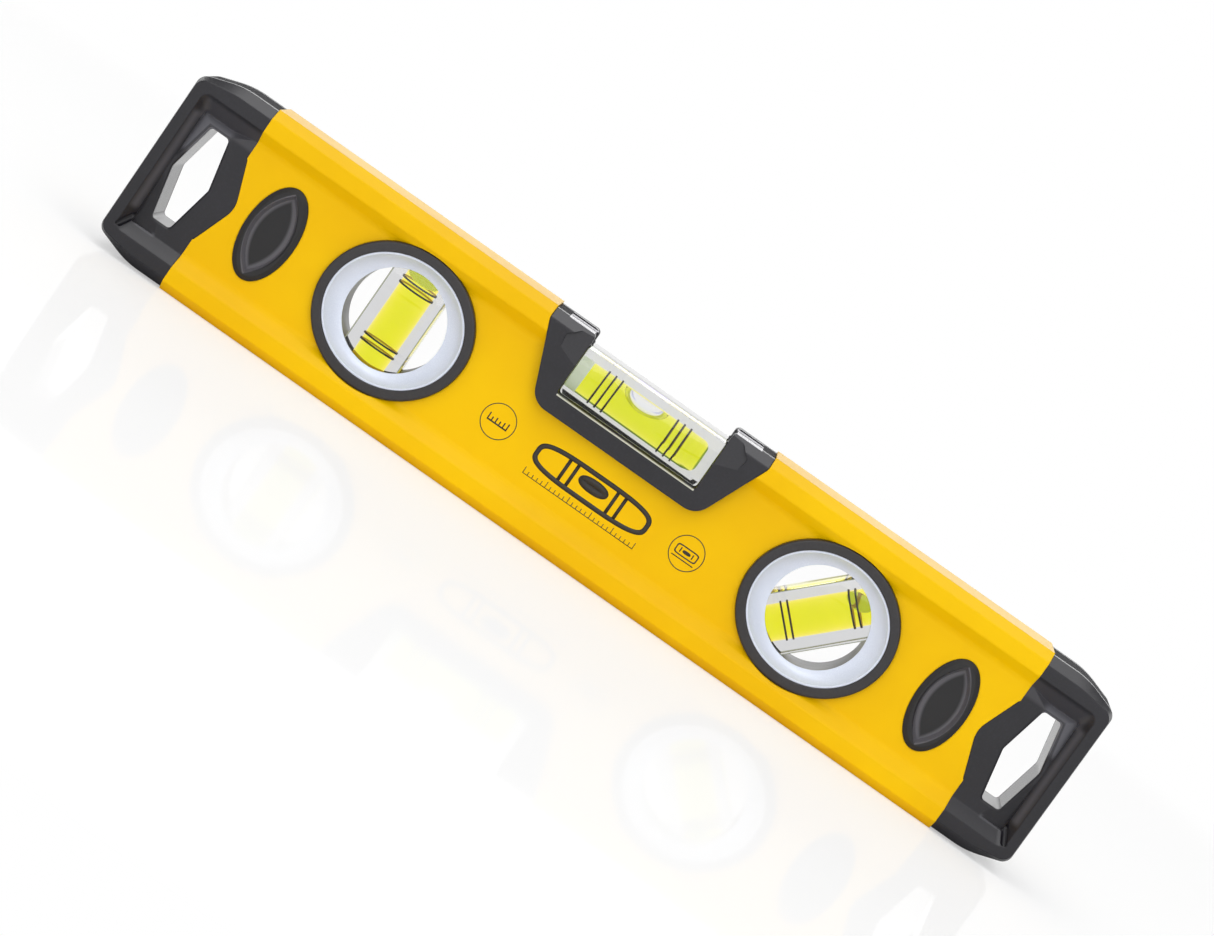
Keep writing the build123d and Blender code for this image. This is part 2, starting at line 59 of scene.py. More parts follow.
# Points on a barrel's rim and along it, on a quarter turn of a box's corner, and on the end of a bar.
RIM_POINTS, BARREL_POINTS, CORNER_POINTS, END_POINTS = 9, 33, 7, 25
WHITE = (1.0, 1.0, 1.0)
NO_LIGHT = (0.0, 0.0, 0.0)
Pair = tuple[float, float]
Point = tuple[float, float, float]
Colour = tuple[float, float, float]
Numbers = float | Sequence[float] | np.ndarray
Outline = Callable[[float], np.ndarray]
Ring = tuple[float, float, float, float]


def linear(red: int, green: int, blue: int) -> Colour:
    """Turn a display colour, 0 to 255, into the linear colour, 0 to 1, by the sRGB formula."""
    shares = [value / 255 for value in (red, green, blue)]
    return tuple(v / 12.92 if v <= 0.04045 else ((v + 0.055) / 1.055) ** 2.4 for v in shares)


# ------------------------------------------------------------------ surfaces
@dataclass(frozen=True)
class Surface:
    """Points in millimetres, the faces between them, and how many of the first faces are trim."""

    points: np.ndarray
    faces: list[list[int]]
    trim: int = 0

    def plus(self, other: "Surface") -> "Surface":
        """Join another surface to this one without merging points.

        Args:
            other: The surface to add.

        Returns:
            Both surfaces as one.
        """
        start = len(self.points)
        moved = [[index + start for index in face] for face in other.faces]
        return Surface(np.vstack([self.points, other.points]), self.faces + moved)

    def tilted(self, degrees: float) -> "Surface":
        """Turn the surface about the Y axis.

        Args:
            degrees: Angle from +X towards +Z.

        Returns:
            The turned surface.
        """
        cosine, sine = math.cos(math.radians(degrees)), math.sin(math.radians(degrees))
        turn = np.array([[cosine, 0, -sine], [0, 1, 0], [sine, 0, cosine]])
        return Surface(self.points @ turn.T, self.faces, self.trim)

    def shifted(self, x: float = 0.0, y: float = 0.0, z: float = 0.0) -> "Surface":
        """Move the surface by an offset in millimetres."""
        return Surface(self.points + np.array([x, y, z]), self.faces, self.trim)


def strip_faces(rows: int, columns: int) -> list[list[int]]:
    """Quads between neighbouring rows of a grid whose rows are closed loops.

    Point (i, j) has the index i * columns + j, and j wraps round. The quads face out where the loops turn
    left-handed about the direction in which the rows follow each other.

    Args:
        rows: Number of loops.
        columns: Points on each loop.

    Returns:
        The corners of each quad.
    """
    i, j = np.meshgrid(np.arange(rows - 1), np.arange(columns), indexing="ij")
    here, beside = i * columns + j, i * columns + (j + 1) % columns
    return np.stack([here + columns, beside + columns, beside, here], axis=-1).reshape(-1, 4).tolist()


def lathe(stations: np.ndarray, radii: np.ndarray, around: int = 72) -> Surface:
    """Surface of revolution about X, closed by a pole at each end.

    A point at station x and angle a is (x, r(x) sin a, r(x) cos a).

    Args:
        stations: Places along X, in order, the first and last being the poles.
        radii: Radius at each station; the poles have none.
        around: Points on each loop.

    Returns:
        The closed surface.
    """
    angle = np.linspace(0, 2 * math.pi, around, endpoint=False)
    x, radius = stations[1:-1, None], radii[1:-1, None]
    loops = np.stack([x + 0 * angle, radius * np.sin(angle), radius * np.cos(angle)], axis=-1)
    rows = len(stations) - 2
    points = np.vstack([loops.reshape(-1, 3), [[stations[0], 0, 0], [stations[-1], 0, 0]]])
    j = np.arange(around)
    beside = (j + 1) % around
    last = (rows - 1) * around
    pole = np.full(around, rows * around)
    first_fan = np.stack([pole, j, beside], axis=-1).tolist()
    last_fan = np.stack([pole + 1, last + beside, last + j], axis=-1).tolist()
    return Surface(points, strip_faces(rows, around) + first_fan + last_fan)


def barrel(x_from: float, x_to: float, radius: float, sag: float, rounds: Pair) -> Surface:
    """Closed barrel along X, widest at its middle, with a rounded rim at each end.

    Between the rims the radius is R - sag * t ** 2, with t from -1 to 1 along the barrel. Round a rim of
    radius e it is R - sag - e * (1 - sin b) at e * (1 - cos b) from the end, b from 0 to 90 degrees.

    Args:
        x_from: Lower end.
        x_to: Upper end.
        radius: Radius R at the middle.
        sag: How much narrower the barrel is at its ends.
        rounds: Radius of the rim at the lower and the upper end.

    Returns:
        The closed surface.
    """
    bend = np.linspace(0, math.pi / 2, RIM_POINTS)
    low, high = rounds
    t = np.linspace(-1, 1, BARREL_POINTS)[1:-1]
    start, stop = x_from + low, x_to - high
    along = (start + stop) / 2 + t * (stop - start) / 2
    stations = [[x_from], x_from + low * (1 - np.cos(bend)), along]
    stations += [np.flip(x_to - high * (1 - np.cos(bend))), [x_to]]
    radii = [[0.0], radius - sag - low * (1 - np.sin(bend)), radius - sag * t**2]
    radii += [np.flip(radius - sag - high * (1 - np.sin(bend))), [0.0]]
    return lathe(np.concatenate(stations), np.concatenate(radii))


def slab(outline: Outline, half: float, ease: float, steps: int = 4) -> Surface:
    """Flat body of one outline in X and Z, with its two rims eased by a quarter round.

    Round a rim the outline is drawn in by e * (1 - sin b) at the depth e * (1 - cos b) below the face, with
    b from 0 to 90 degrees. Each face is one polygon.

    Args:
        outline: Gives the (x, z) points of the outline drawn in by a distance.
        half: Half of the thickness, along Y.
        ease: Radius e of the rims.
        steps: Loops in each quarter round.

    Returns:
        The closed surface, about y = 0, with the faces of its rims as the trim.
    """
    bend = np.linspace(0, math.pi / 2, steps)
    inset, depth = ease * (1 - np.sin(bend)), half - ease * (1 - np.cos(bend))
    insets = np.concatenate([inset, np.flip(inset)])
    places = np.concatenate([-depth, np.flip(depth)])
    flats = np.stack([outline(float(distance)) for distance in insets])
    y = np.broadcast_to(places[:, None], flats.shape[:2])
    loops = np.stack([flats[..., 0], y, flats[..., 1]], axis=-1)
    rows, around = flats.shape[:2]
    strips = strip_faces(rows, around)
    ends = [list(range(around)), list(range((rows - 1) * around, rows * around))[::-1]]
    rim = (steps - 1) * around
    faces = strips[:rim] + strips[-rim:] + strips[rim:-rim] + ends
    return Surface(loops.reshape(-1, 3), faces, 2 * rim)


def rounded_box(half_x: float, half_z: float, upper: float, lower: float) -> Outline:
    """Outline of a rectangle with round corners, about the origin.

    A corner's points are its centre plus (radius - inset) * (cos a, sin a), over a quarter turn.

    Args:
        half_x: Half of the width.
        half_z: Half of the height.
        upper: Radius of the two upper corners.
        lower: Radius of the two lower corners.

    Returns:
        A function that gives the points of the outline drawn in by a distance.
    """
    quarter = np.linspace(0, math.pi / 2, CORNER_POINTS)
    angle = np.concatenate([quarter + k * math.pi / 2 for k in range(4)])
    radius = np.repeat([upper, upper, lower, lower], CORNER_POINTS)[:, None]
    signs = np.repeat([[1, 1], [-1, 1], [-1, -1], [1, -1]], CORNER_POINTS, axis=0)
    centres = signs * (np.array([half_x, half_z]) - radius)

    def drawn_in(inset: float) -> np.ndarray:
        """Points of the outline drawn in by a distance."""
        return centres + (radius - inset) * np.stack([np.cos(angle), np.sin(angle)], axis=-1)

    return drawn_in


def rounded_bar(half_width: float, end_radius: float) -> Outline:
    """Outline of a bar along X with straight sides and ends on one circle.

    An end's points are (R cos a, R sin a) for a up to asin(half width / R), with both less the inset.

    Args:
        half_width: Half of the width, in Z.
        end_radius: Radius R of the circle.

    Returns:
        A function that gives the points of the outline drawn in by a distance.
    """

    def drawn_in(inset: float) -> np.ndarray:
        """Draw the outline in.

        Args:
            inset: By how much.

        Returns:
            Its points.
        """
        radius = end_radius - inset
        reach = math.asin((half_width - inset) / radius)
        angle = np.linspace(-reach, reach, END_POINTS)
        angle = np.concatenate([angle, angle + math.pi])
        return radius * np.stack([np.cos(angle), np.sin(angle)], axis=-1)

    return drawn_in


def film_ring(half_x: float, half_z: float, width: float, power: float, around: int = 96) -> Surface:
    """Flat ring in X and Z that faces the front.

    A point at angle a is at (w sign(cos a) |cos a| ** (2 / p), h sign(sin a) |sin a| ** (2 / p)). On the
    outer edge w and h are the half sizes, and on the inner one the half sizes less the width.

    Args:
        half_x: Half of the outer width.
        half_z: Half of the outer height.
        width: Width of the line; the smaller half size gives a full disc.
        power: Power p of the superellipse; 2 is an ellipse, and more is squarer.
        around: Points round the ring.

    Returns:
        The open surface at y = 0.
    """
    angle = np.linspace(0, 2 * math.pi, around, endpoint=False)
    inner = min(width, NEARLY_FULL * min(half_x, half_z))
    drawn_in = np.array([0.0, inner])[:, None]
    across = np.sign(np.cos(angle)) * np.abs(np.cos(angle)) ** (2 / power)
    up = np.sign(np.sin(angle)) * np.abs(np.sin(angle)) ** (2 / power)
    x, z = (half_x - drawn_in) * across, (half_z - drawn_in) * up
    to_front = [face[::-1] for face in strip_faces(2, around)]
    return Surface(np.stack([x, 0 * x, z], axis=-1).reshape(-1, 3), to_front)


def film_bars(places: Numbers, half_width: Numbers, low: Numbers, high: Numbers) -> Surface:
    """Flat upright bars in X and Z that face the front.

    A bar has its corners at (place +- half width, low or high). A single number serves for all the bars.

    Args:
        places: Middle of each bar along X.
        half_width: Half width of a bar.
        low: Lower end of a bar.
        high: Upper end of a bar.

    Returns:
        The open surface at y = 0.
    """
    middle, half, low, high = np.broadcast_arrays(np.atleast_1d(places), half_width, low, high)
    left, right = middle - half, middle + half
    x = np.stack([left, right, right, left], axis=-1)
    z = np.stack([low, low, high, high], axis=-1)
    points = np.stack([x, 0 * x, z], axis=-1).reshape(-1, 3)
    return Surface(points, np.arange(len(points)).reshape(-1, 4).tolist())


def piece(
    name: str, surface: Surface, finishes: Sequence[bpy.types.Material], body: str
) -> bpy.types.Object:
    """Put a surface in the scene as a new piece that rides on a body.

    Args:
        name: Name of the piece.
        surface: Its points in millimetres and faces.
        finishes: Its finish, and that of its trim if it has one.
        body: The body it moves with.

    Returns:
        The new object, at the origin.
    """
    mesh = bpy.data.meshes.new(name)
    mesh.from_pydata((surface.points * MM).tolist(), [], surface.faces)
    mesh.validate()
    mesh.shade_smooth()
    mesh.set_sharp_from_angle(angle=SHARP_EDGE)
    for finish in finishes:
        mesh.materials.append(finish)
    if len(finishes) > 1:
        trimmed = np.arange(len(mesh.polygons)) < surface.trim
        mesh.polygons.foreach_set("material_index", trimmed.astype(np.int32))
    made = bpy.data.objects.new(name, mesh)
    bpy.context.scene.collection.objects.link(made)
    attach(made, body)
    LOG.info("piece %s: %d points, rides on %s", name, len(mesh.vertices), body)
    return made


def dress(node: str, material: bpy.types.Material) -> None:
    """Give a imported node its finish.

    Args:
        node: Name of the node.
        material: Its finish.
    """
    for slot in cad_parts[node].material_slots:
        slot.material = material
    LOG.info("node %s: %s", node, material.name)


@dataclass(frozen=True)
class Extent:
    """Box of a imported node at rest, in millimetres."""

    low: Point
    high: Point

    @classmethod
    def of(cls, node: str) -> "Extent":
        """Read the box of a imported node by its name."""
        low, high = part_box(node)
        return cls(tuple(v / MM for v in low), tuple(v / MM for v in high))

    @property
    def middle(self) -> Point:
        """Middle of the box."""
        return tuple((a + b) / 2 for a, b in zip(self.low, self.high))

    @property
    def half(self) -> Point:
        """Half sizes of the box."""
        return tuple((b - a) / 2 for a, b in zip(self.low, self.high))


# ------------------------------------------------------------------ shader trees
class Signal:
    """An output socket of a shader tree; arithmetic on it adds Math nodes."""

    def __init__(self, sheet: "Sheet", socket: bpy.types.NodeSocket) -> None:
        """Wrap a socket of a sheet."""
        self.sheet = sheet
        self.socket = socket

    def _math(self, operation: str, first: "Signal | float", second: "Signal | float") -> "Signal":
        """Result of an operation on two values."""
        return self.sheet.signal("ShaderNodeMath", {"operation": operation}, {0: first, 1: second})

    def __add__(self, other: "Signal | float") -> "Signal":
        """Sum."""
        return self._math("ADD", self, other)

    def __radd__(self, other: "Signal | float") -> "Signal":
        """Sum with a number on the left."""
        return self._math("ADD", other, self)

    def __sub__(self, other: "Signal | float") -> "Signal":
        """Difference."""
        return self._math("SUBTRACT", self, other)

    def __rsub__(self, other: "Signal | float") -> "Signal":
        """Difference with a number on the left."""
        return self._math("SUBTRACT", other, self)

    def __mul__(self, other: "Signal | float") -> "Signal":
        """Product."""
        return self._math("MULTIPLY", self, other)

    def __pow__(self, other: float) -> "Signal":
        """Power."""
        return self._math("POWER", self, other)


Value = Signal | float | Sequence[float]
Settings = Mapping[str, Any]
Inputs = Mapping[Any, Value]
NOTHING: Settings = {}


class Sheet:
    """The shader tree of one material or of the world."""

    def __init__(self, owner: bpy.types.Material | bpy.types.World) -> None:
        """Empty a tree and give it an output node.

        Args:
            owner: The material or world with the tree.
        """
        owner.use_nodes = True
        self.tree = owner.node_tree
        self.tree.nodes.clear()
        kind = "ShaderNodeOutputWorld" if isinstance(owner, bpy.types.World) else "ShaderNodeOutputMaterial"
        self.output = self.node(kind)

    def node(self, kind: str, settings: Settings = NOTHING, inputs: Inputs = NOTHING) -> bpy.types.Node:
        """Add a node: its settings are set first, then its sockets.

        Args:
            kind: Type of the node.
            settings: Its properties.
            inputs: Values or signals for its sockets, by name or number.

        Returns:
            The node.
        """
        made = self.tree.nodes.new(kind)
        for name, value in settings.items():
            setattr(made, name, value)
        for key, value in inputs.items():
            if isinstance(value, Signal):
                self.tree.links.new(value.socket, made.inputs[key])
            else:
                made.inputs[key].default_value = value
        return made

    def signal(
        self, kind: str, settings: Settings = NOTHING, inputs: Inputs = NOTHING, output: str | int = 0
    ) -> Signal:
        """Add a node and take one of its outputs, by name or number."""
        return Signal(self, self.node(kind, settings, inputs).outputs[output])

    def place(self) -> Signal:
        """Object coordinates, in metres."""
        return self.signal("ShaderNodeTexCoord", output="Object")

    def noise(self, size: float, detail: float = 2.0, stretch: Sequence[float] = (1, 1, 1)) -> Signal:
        """Cloudy noise from 0 to 1.

        Args:
            size: Size of its lumps, in millimetres.
            detail: Octaves of finer noise in it.
            stretch: How much the pattern is squeezed along each axis.

        Returns:
            The noise.
        """
        place = self.signal("ShaderNodeMapping", inputs={"Vector": self.place(), "Scale": stretch})
        scale = 1 / (size * MM)
        return self.signal("ShaderNodeTexNoise", inputs={"Vector": place, "Scale": scale, "Detail": detail})

    def cells(self, size: float) -> Signal:
        """Distance to the nearest of points scattered at a spacing in millimetres, about 0 to 1."""
        inputs = {"Vector": self.place(), "Scale": 1 / (size * MM)}
        return self.signal("ShaderNodeTexVoronoi", inputs=inputs, output="Distance")

    def axis(self, name: str) -> Signal:
        """One of the object coordinates X, Y and Z, in millimetres."""
        return self.signal("ShaderNodeSeparateXYZ", inputs={0: self.place()}, output=name) * (1 / MM)

    def size(self, value: Signal) -> Signal:
        """Value without its sign."""
        return self.signal("ShaderNodeMath", {"operation": "ABSOLUTE"}, {0: value})

    def step(self, value: Signal, start: float, stop: float) -> Signal:
        """Smooth step of a value, 0 at the start and 1 at the stop."""
        inputs = {"Value": value, "From Min": start, "From Max": stop}
        return self.signal("ShaderNodeMapRange", {"interpolation_type": "SMOOTHSTEP"}, inputs)

    def blend(self, share: Signal, first: Value, second: Value) -> Signal:
        """Mix of two colours, with the share of the second one."""
        settings = {"data_type": "RGBA"}
        return self.signal("ShaderNodeMix", settings, {0: share, 6: rgba(first), 7: rgba(second)}, output=2)

    def bump(self, height: Signal, depth: float, edge: float = 0.0) -> Signal:
        """Bumpy normal, over edges that look rounded.

        Args:
            height: Height, 0 to 1.
            depth: Height of 1, in millimetres.
            edge: Radius that edges seem to have, in millimetres.

        Returns:
            The normal.
        """
        inputs = {"Height": height, "Distance": depth * MM, "Strength": 1.0}
        if edge:
            inputs["Normal"] = self.signal("ShaderNodeBevel", {"samples": 6}, {"Radius": edge * MM})
        return self.signal("ShaderNodeBump", inputs=inputs)

    def glow(self, strength: float) -> Signal:
        """White light of a strength, given off evenly."""
        return self.signal("ShaderNodeEmission", inputs={"Strength": strength})

    def mix(self, share: Value, first: Signal, second: Signal) -> Signal:
        """Mix of two shaders, with the share of the second one."""
        return self.signal("ShaderNodeMixShader", inputs={0: share, 1: first, 2: second})

    def coat(self, looks: Inputs, volume: Signal | None = None) -> None:
        """Finish with a Principled surface that has these values or signals in its sockets."""
        self.finish(self.signal("ShaderNodeBsdfPrincipled", inputs=looks), volume)

    def solid(
        self, colour: Value, rough: Value, normal: Signal, shine: float = 0.5, metal: float = 0.0
    ) -> None:
        """Finish with an opaque surface of a colour, roughness, normal, mirror shine and share of metal."""
        looks = {"Base Color": colour, "Roughness": rough, "Normal": normal, "IOR": PLASTIC_IOR}
        self.coat({**looks, "Specular IOR Level": shine, "Metallic": metal})

    def finish(self, surface: Signal, volume: Signal | None = None) -> None:
        """Link the shaders to the output.

        Args:
            surface: Shader of the surface.
            volume: Shader of what is inside it.
        """
        self.tree.links.new(surface.socket, self.output.inputs["Surface"])
        if volume is not None:
            self.tree.links.new(volume.socket, self.output.inputs["Volume"])


def rgba(colour: Value) -> Value:
    """Colour with an opacity of 1, or a signal as it is."""
    return colour if isinstance(colour, Signal) else (*colour, 1.0)


# ------------------------------------------------------------------ finishes
class Finish:
    """Look of a material; each kind of finish draws its own shader tree."""

    def material(self, name: str) -> bpy.types.Material:
        """Make a new material with this finish.

        Args:
            name: Name of the material.

        Returns:
            The material.
        """
        made = bpy.data.materials.new(name)
        self.draw(Sheet(made))
        return made

    def draw(self, sheet: Sheet) -> None:
        """Fill an empty tree, which each kind of finish does in its own way."""
        raise NotImplementedError


@dataclass(frozen=True)
class PaintedMetal(Finish):
    """Powder paint: a faint orange peel, cloudy gloss and a few fine pits."""

    colour: Colour = linear(243, 195, 0)
    deep: Colour = linear(237, 186, 0)
    gloss: float = 0.36
    peel_size: float = 1.7
    peel_depth: float = 0.006
    pit_size: float = 2.6
    pit_reach: Pair = (0.02, 0.09)
    pit_shade: float = 0.25
    cloud_size: float = 38.0
    fine_size: float = 0.35
    uneven: Pair = (0.08, 0.1)
    edge: float = 0.3
    shine: float = 0.1

    def draw(self, sheet: Sheet) -> None:
        """Draw the finish.

        Args:
            sheet: The empty tree.
        """
        cloud = sheet.noise(self.cloud_size, 3.0)
        peel = sheet.noise(self.peel_size)
        fine = sheet.noise(self.fine_size)
        pits = 1 - sheet.step(sheet.cells(self.pit_size), *self.pit_reach)
        colour = sheet.blend(sheet.step(cloud, 0.35, 0.65), self.colour, self.deep)
        colour = sheet.blend(pits * self.pit_shade, colour, self.deep)
        cloudy, fine_grained = self.uneven
        rough = self.gloss + (cloud - 0.5) * cloudy + (fine - 0.5) * fine_grained
        height = peel + fine * 0.12 - pits * 0.5
        sheet.solid(colour, rough, sheet.bump(height, self.peel_depth, self.edge), self.shine)


@dataclass(frozen=True)
class Zone:
    """Box where a plastic has its own colour and gloss, alike on both sides of X = 0 and mostly of Y = 0.

    Its border is twice `soft` mm wide in X and Z, and narrow in Y. Most zones' colours are painted
    highlights, reflections or light.
    """

    x: Pair
    y: Pair
    z: Pair
    colour: Colour
    gloss: float = 0.1
    both_faces: bool = True
    soft: float = NARROW

    def share(self, sheet: Sheet) -> Signal:
        """How much of the zone's finish there is at a point.

        Args:
            sheet: The tree that asks.

        Returns:
            1 in the zone and 0 out of it.
        """
        depth = sheet.axis("Y")
        depth = sheet.size(depth) if self.both_faces else depth
        places = {"x": sheet.size(sheet.axis("X")), "y": depth, "z": sheet.axis("Z")}
        share = 1.0
        for name, place in places.items():
            low, high = getattr(self, name)
            soft = NARROW if name == "y" else self.soft
            share = sheet.step(place, low - soft, low + soft) * share
            share = sheet.step(place, high + soft, high - soft) * share
        return share


@dataclass(frozen=True)
class MouldedPlastic(Finish):
    """Injection moulded plastic with the fine grain of a spark-eroded mould, smooth in its zones, where
    most zones also paint a highlight, a reflection or light in a paler colour.
    """

    colour: Colour
    worn: Colour
    gloss: float = 0.36
    grain_size: float = 0.55
    grain_depth: float = 0.01
    worn_from: Pair = (0.45, 0.75)
    flow_size: float = 14.0
    flow_stretch: Point = (0.4, 1, 1)
    uneven: Pair = (0.16, 0.1)
    edge: float = 0.3
    shine: float = 0.45
    zones: tuple[Zone, ...] = ()

    def draw(self, sheet: Sheet) -> None:
        """Draw the finish.

        Args:
            sheet: The empty tree.
        """
        grain = sheet.noise(self.grain_size, 3.0)
        lumps = sheet.cells(self.grain_size * 1.6)
        flow = sheet.noise(self.flow_size, stretch=self.flow_stretch)
        height = grain * 0.6 + lumps * 0.4
        wear = sheet.step(grain, *self.worn_from) * 0.5 + sheet.step(flow, 0.4, 0.7) * 0.3
        grainy, flowing = self.uneven
        rough = self.gloss + (grain - 0.5) * grainy + (flow - 0.5) * flowing
        colour = sheet.blend(wear, self.colour, self.worn)
        # Each zone smooths the plastic and sets its colour, which in most zones is a painted highlight,
        # reflection or light.
        for zone in self.zones:
            smooth = zone.share(sheet)
            rough = rough * (1 - smooth) + smooth * zone.gloss
            height = height * (1 - smooth * 0.9)
            colour = sheet.blend(smooth, colour, zone.colour)
        sheet.solid(colour, rough, sheet.bump(height, self.grain_depth, self.edge), self.shine)


@dataclass(frozen=True)
class InsertPlastic(MouldedPlastic):
    """Moulded plastic of an insert: a rim darkened by painted shade, and a band with a painted highlight
    inside its pointed hollow's edge.
    """

    # Painted shade: the rim is darker where its surface turns away from the light.
    rim: Colour = linear(22, 21, 23)
    # Painted highlight: the band inside the hollow's edge is paler.
    band: Colour = linear(88, 86, 91)
    hollow: Pair = (4.6, 10.5)
    middle: Pair = (92.3, 24.35)
    band_stops: tuple[float, ...] = (-1.7, -0.8, 0.0, 0.35)

    def draw(self, sheet: Sheet) -> None:
        """Draw the plastic, with the rim's painted shade and the band's painted highlight set by the
        distance from the hollow's edge.

        The edge is two arcs that meet in points. With half width a and half height b of the hollow, an arc
        has its centre c = (b * b - a * a) / (2 * a) beyond the middle and the radius a + c, so the distance
        is ((|x| + c) ** 2 + z ** 2) ** 0.5 - a - c, less than 0 inside.

        Args:
            sheet: The empty tree.
        """
        grain = sheet.noise(self.grain_size, 3.0)
        half_x, half_z = self.hollow
        beyond = (half_z**2 - half_x**2) / (2 * half_x)
        across = sheet.size(sheet.size(sheet.axis("X")) - self.middle[0]) + beyond
        along = sheet.axis("Z") - self.middle[1]
        from_edge = (across * across + along * along) ** 0.5 - (half_x + beyond)
        deep, shallow, edge, rim = self.band_stops
        base = sheet.blend(sheet.step(grain, *self.worn_from) * 0.5, self.colour, self.worn)
        # Painted highlight on the band inside the hollow's edge, and painted shade on the rim beyond it.
        base = sheet.blend(sheet.step(from_edge, deep, shallow), base, self.band)
        colour = sheet.blend(sheet.step(from_edge, edge, rim), base, self.rim)
        rough = self.gloss + (grain - 0.5) * self.uneven[0]
        sheet.solid(colour, rough, sheet.bump(grain, self.grain_depth, self.edge), self.shine)


@dataclass(frozen=True)
class SatinSilver(Finish):
    """Pale blue-silver lacquer with fine flakes; the tube behind it is bare, and painted shade makes it
    darker lower down.
    """

    colour: Colour = linear(214, 221, 237)
    flake: Colour = linear(231, 238, 250)
    gloss: float = 0.38
    flake_size: float = 0.16
    flake_depth: float = 0.004
    cloud_size: float = 6.0
    rounding: float = 0.2
    metal: float = 0.15
    # Painted shade on the tube's wall: this grey higher up turns to near black lower down.
    wall: Colour = linear(140, 143, 145)
    wall_shaded_low: Colour = linear(28, 29, 29)
    wall_y: float = 6.2
    wall_shade_fade: Pair = (4.0, -6.5)
    middle: float = 0.0

    def draw(self, sheet: Sheet) -> None:
        """Draw the finish.

        Args:
            sheet: The empty tree.
        """
        flakes = sheet.noise(self.flake_size)
        cloud = sheet.noise(self.cloud_size)
        colour = sheet.blend(sheet.step(flakes, 0.42, 0.7) * 0.6, self.colour, self.flake)
        # Painted shade: the tube's wall darkens lower down.
        wall = sheet.step(sheet.size(sheet.axis("Y")), self.wall_y + NARROW, self.wall_y - NARROW)
        shade = sheet.step(sheet.axis("Z") - self.middle, *self.wall_shade_fade)
        colour = sheet.blend(wall, colour, sheet.blend(shade, self.wall, self.wall_shaded_low))
        rough = self.gloss + (flakes - 0.5) * 0.12 + (cloud - 0.5) * 0.08
        normal = sheet.bump(flakes * 0.5 + cloud, self.flake_depth, self.rounding)
        sheet.solid(colour, rough, normal, metal=self.metal)


@dataclass(frozen=True)
class ClearAcrylic(Finish):
    """Clear acrylic with a faint grey tint and the slight waves of its mould."""

    tint: Colour = (0.94, 0.942, 0.955)
    hazy: Colour = (0.92, 0.922, 0.935)
    wave_size: float = 5.0
    wave_depth: float = 0.004
    haze: float = 0.015
    bend: float = 1.49

    def draw(self, sheet: Sheet) -> None:
        """Draw the finish.

        Args:
            sheet: The empty tree.
        """
        waves = sheet.noise(self.wave_size, 1.0)
        looks = {
            "Base Color": sheet.blend(sheet.step(waves, 0.3, 0.7), self.tint, self.hazy),
            "Roughness": self.haze,
            "IOR": self.bend,
            "Transmission Weight": 1.0,
            "Normal": sheet.bump(waves, self.wave_depth),
        }
        sheet.coat(looks)


@dataclass(frozen=True)
class DyedLiquid(Finish):
    """Clear liquid with a yellow-green dye and a painted glow that stands in for light caught in it; its
    colour deepens with the depth.
    """

    taken: Colour = (0.93, 0.97, 0.02)
    density: float = 500.0
    # Painted glow: the liquid gives off light of its own, a little uneven, standing in for light caught by
    # the dye.
    glow: Colour = (0.19, 0.11, 0.0)
    dim_painted_glow: Colour = (0.17, 0.10, 0.0)
    # Painted shade: a deep green line on the liquid's skin at its lower edge and far end.
    edge: Colour = (0.20, 0.33, 0.03)
    shade_line_below: float = -100.0
    shade_line_beyond: float = 1000.0
    shade_line_fade: float = 0.2
    swirl_size: float = 7.0
    bend: float = 1.01

    def draw(self, sheet: Sheet) -> None:
        """Draw the liquid; its skin has a painted shade line, deep green below one height and beyond one
        place along X.

        Args:
            sheet: The empty tree.
        """
        swirl = sheet.noise(self.swirl_size, 1.0)
        # Painted shade line on the skin, below one height and beyond one place along X.
        low = sheet.step(sheet.axis("Z"), self.shade_line_below + self.shade_line_fade, self.shade_line_below)
        end = sheet.step(sheet.axis("X"), self.shade_line_beyond - self.shade_line_fade, self.shade_line_beyond)
        skin = low + end * (1 - low)
        # Painted glow, left off the skin.
        glow = sheet.blend(sheet.step(swirl, 0.3, 0.7), self.glow, self.dim_painted_glow)
        looks = {
            "Base Color": sheet.blend(skin, WHITE, self.edge),
            "Roughness": 0.0,
            "IOR": self.bend,
            "Transmission Weight": 1.0,
            "Emission Color": sheet.blend(skin, glow, NO_LIGHT),
            "Emission Strength": 1.0,
        }
        depth = {"Color": rgba(self.taken), "Density": self.density}
        volume = sheet.signal("ShaderNodeVolumeAbsorption", inputs=depth)
        sheet.coat(looks, volume)


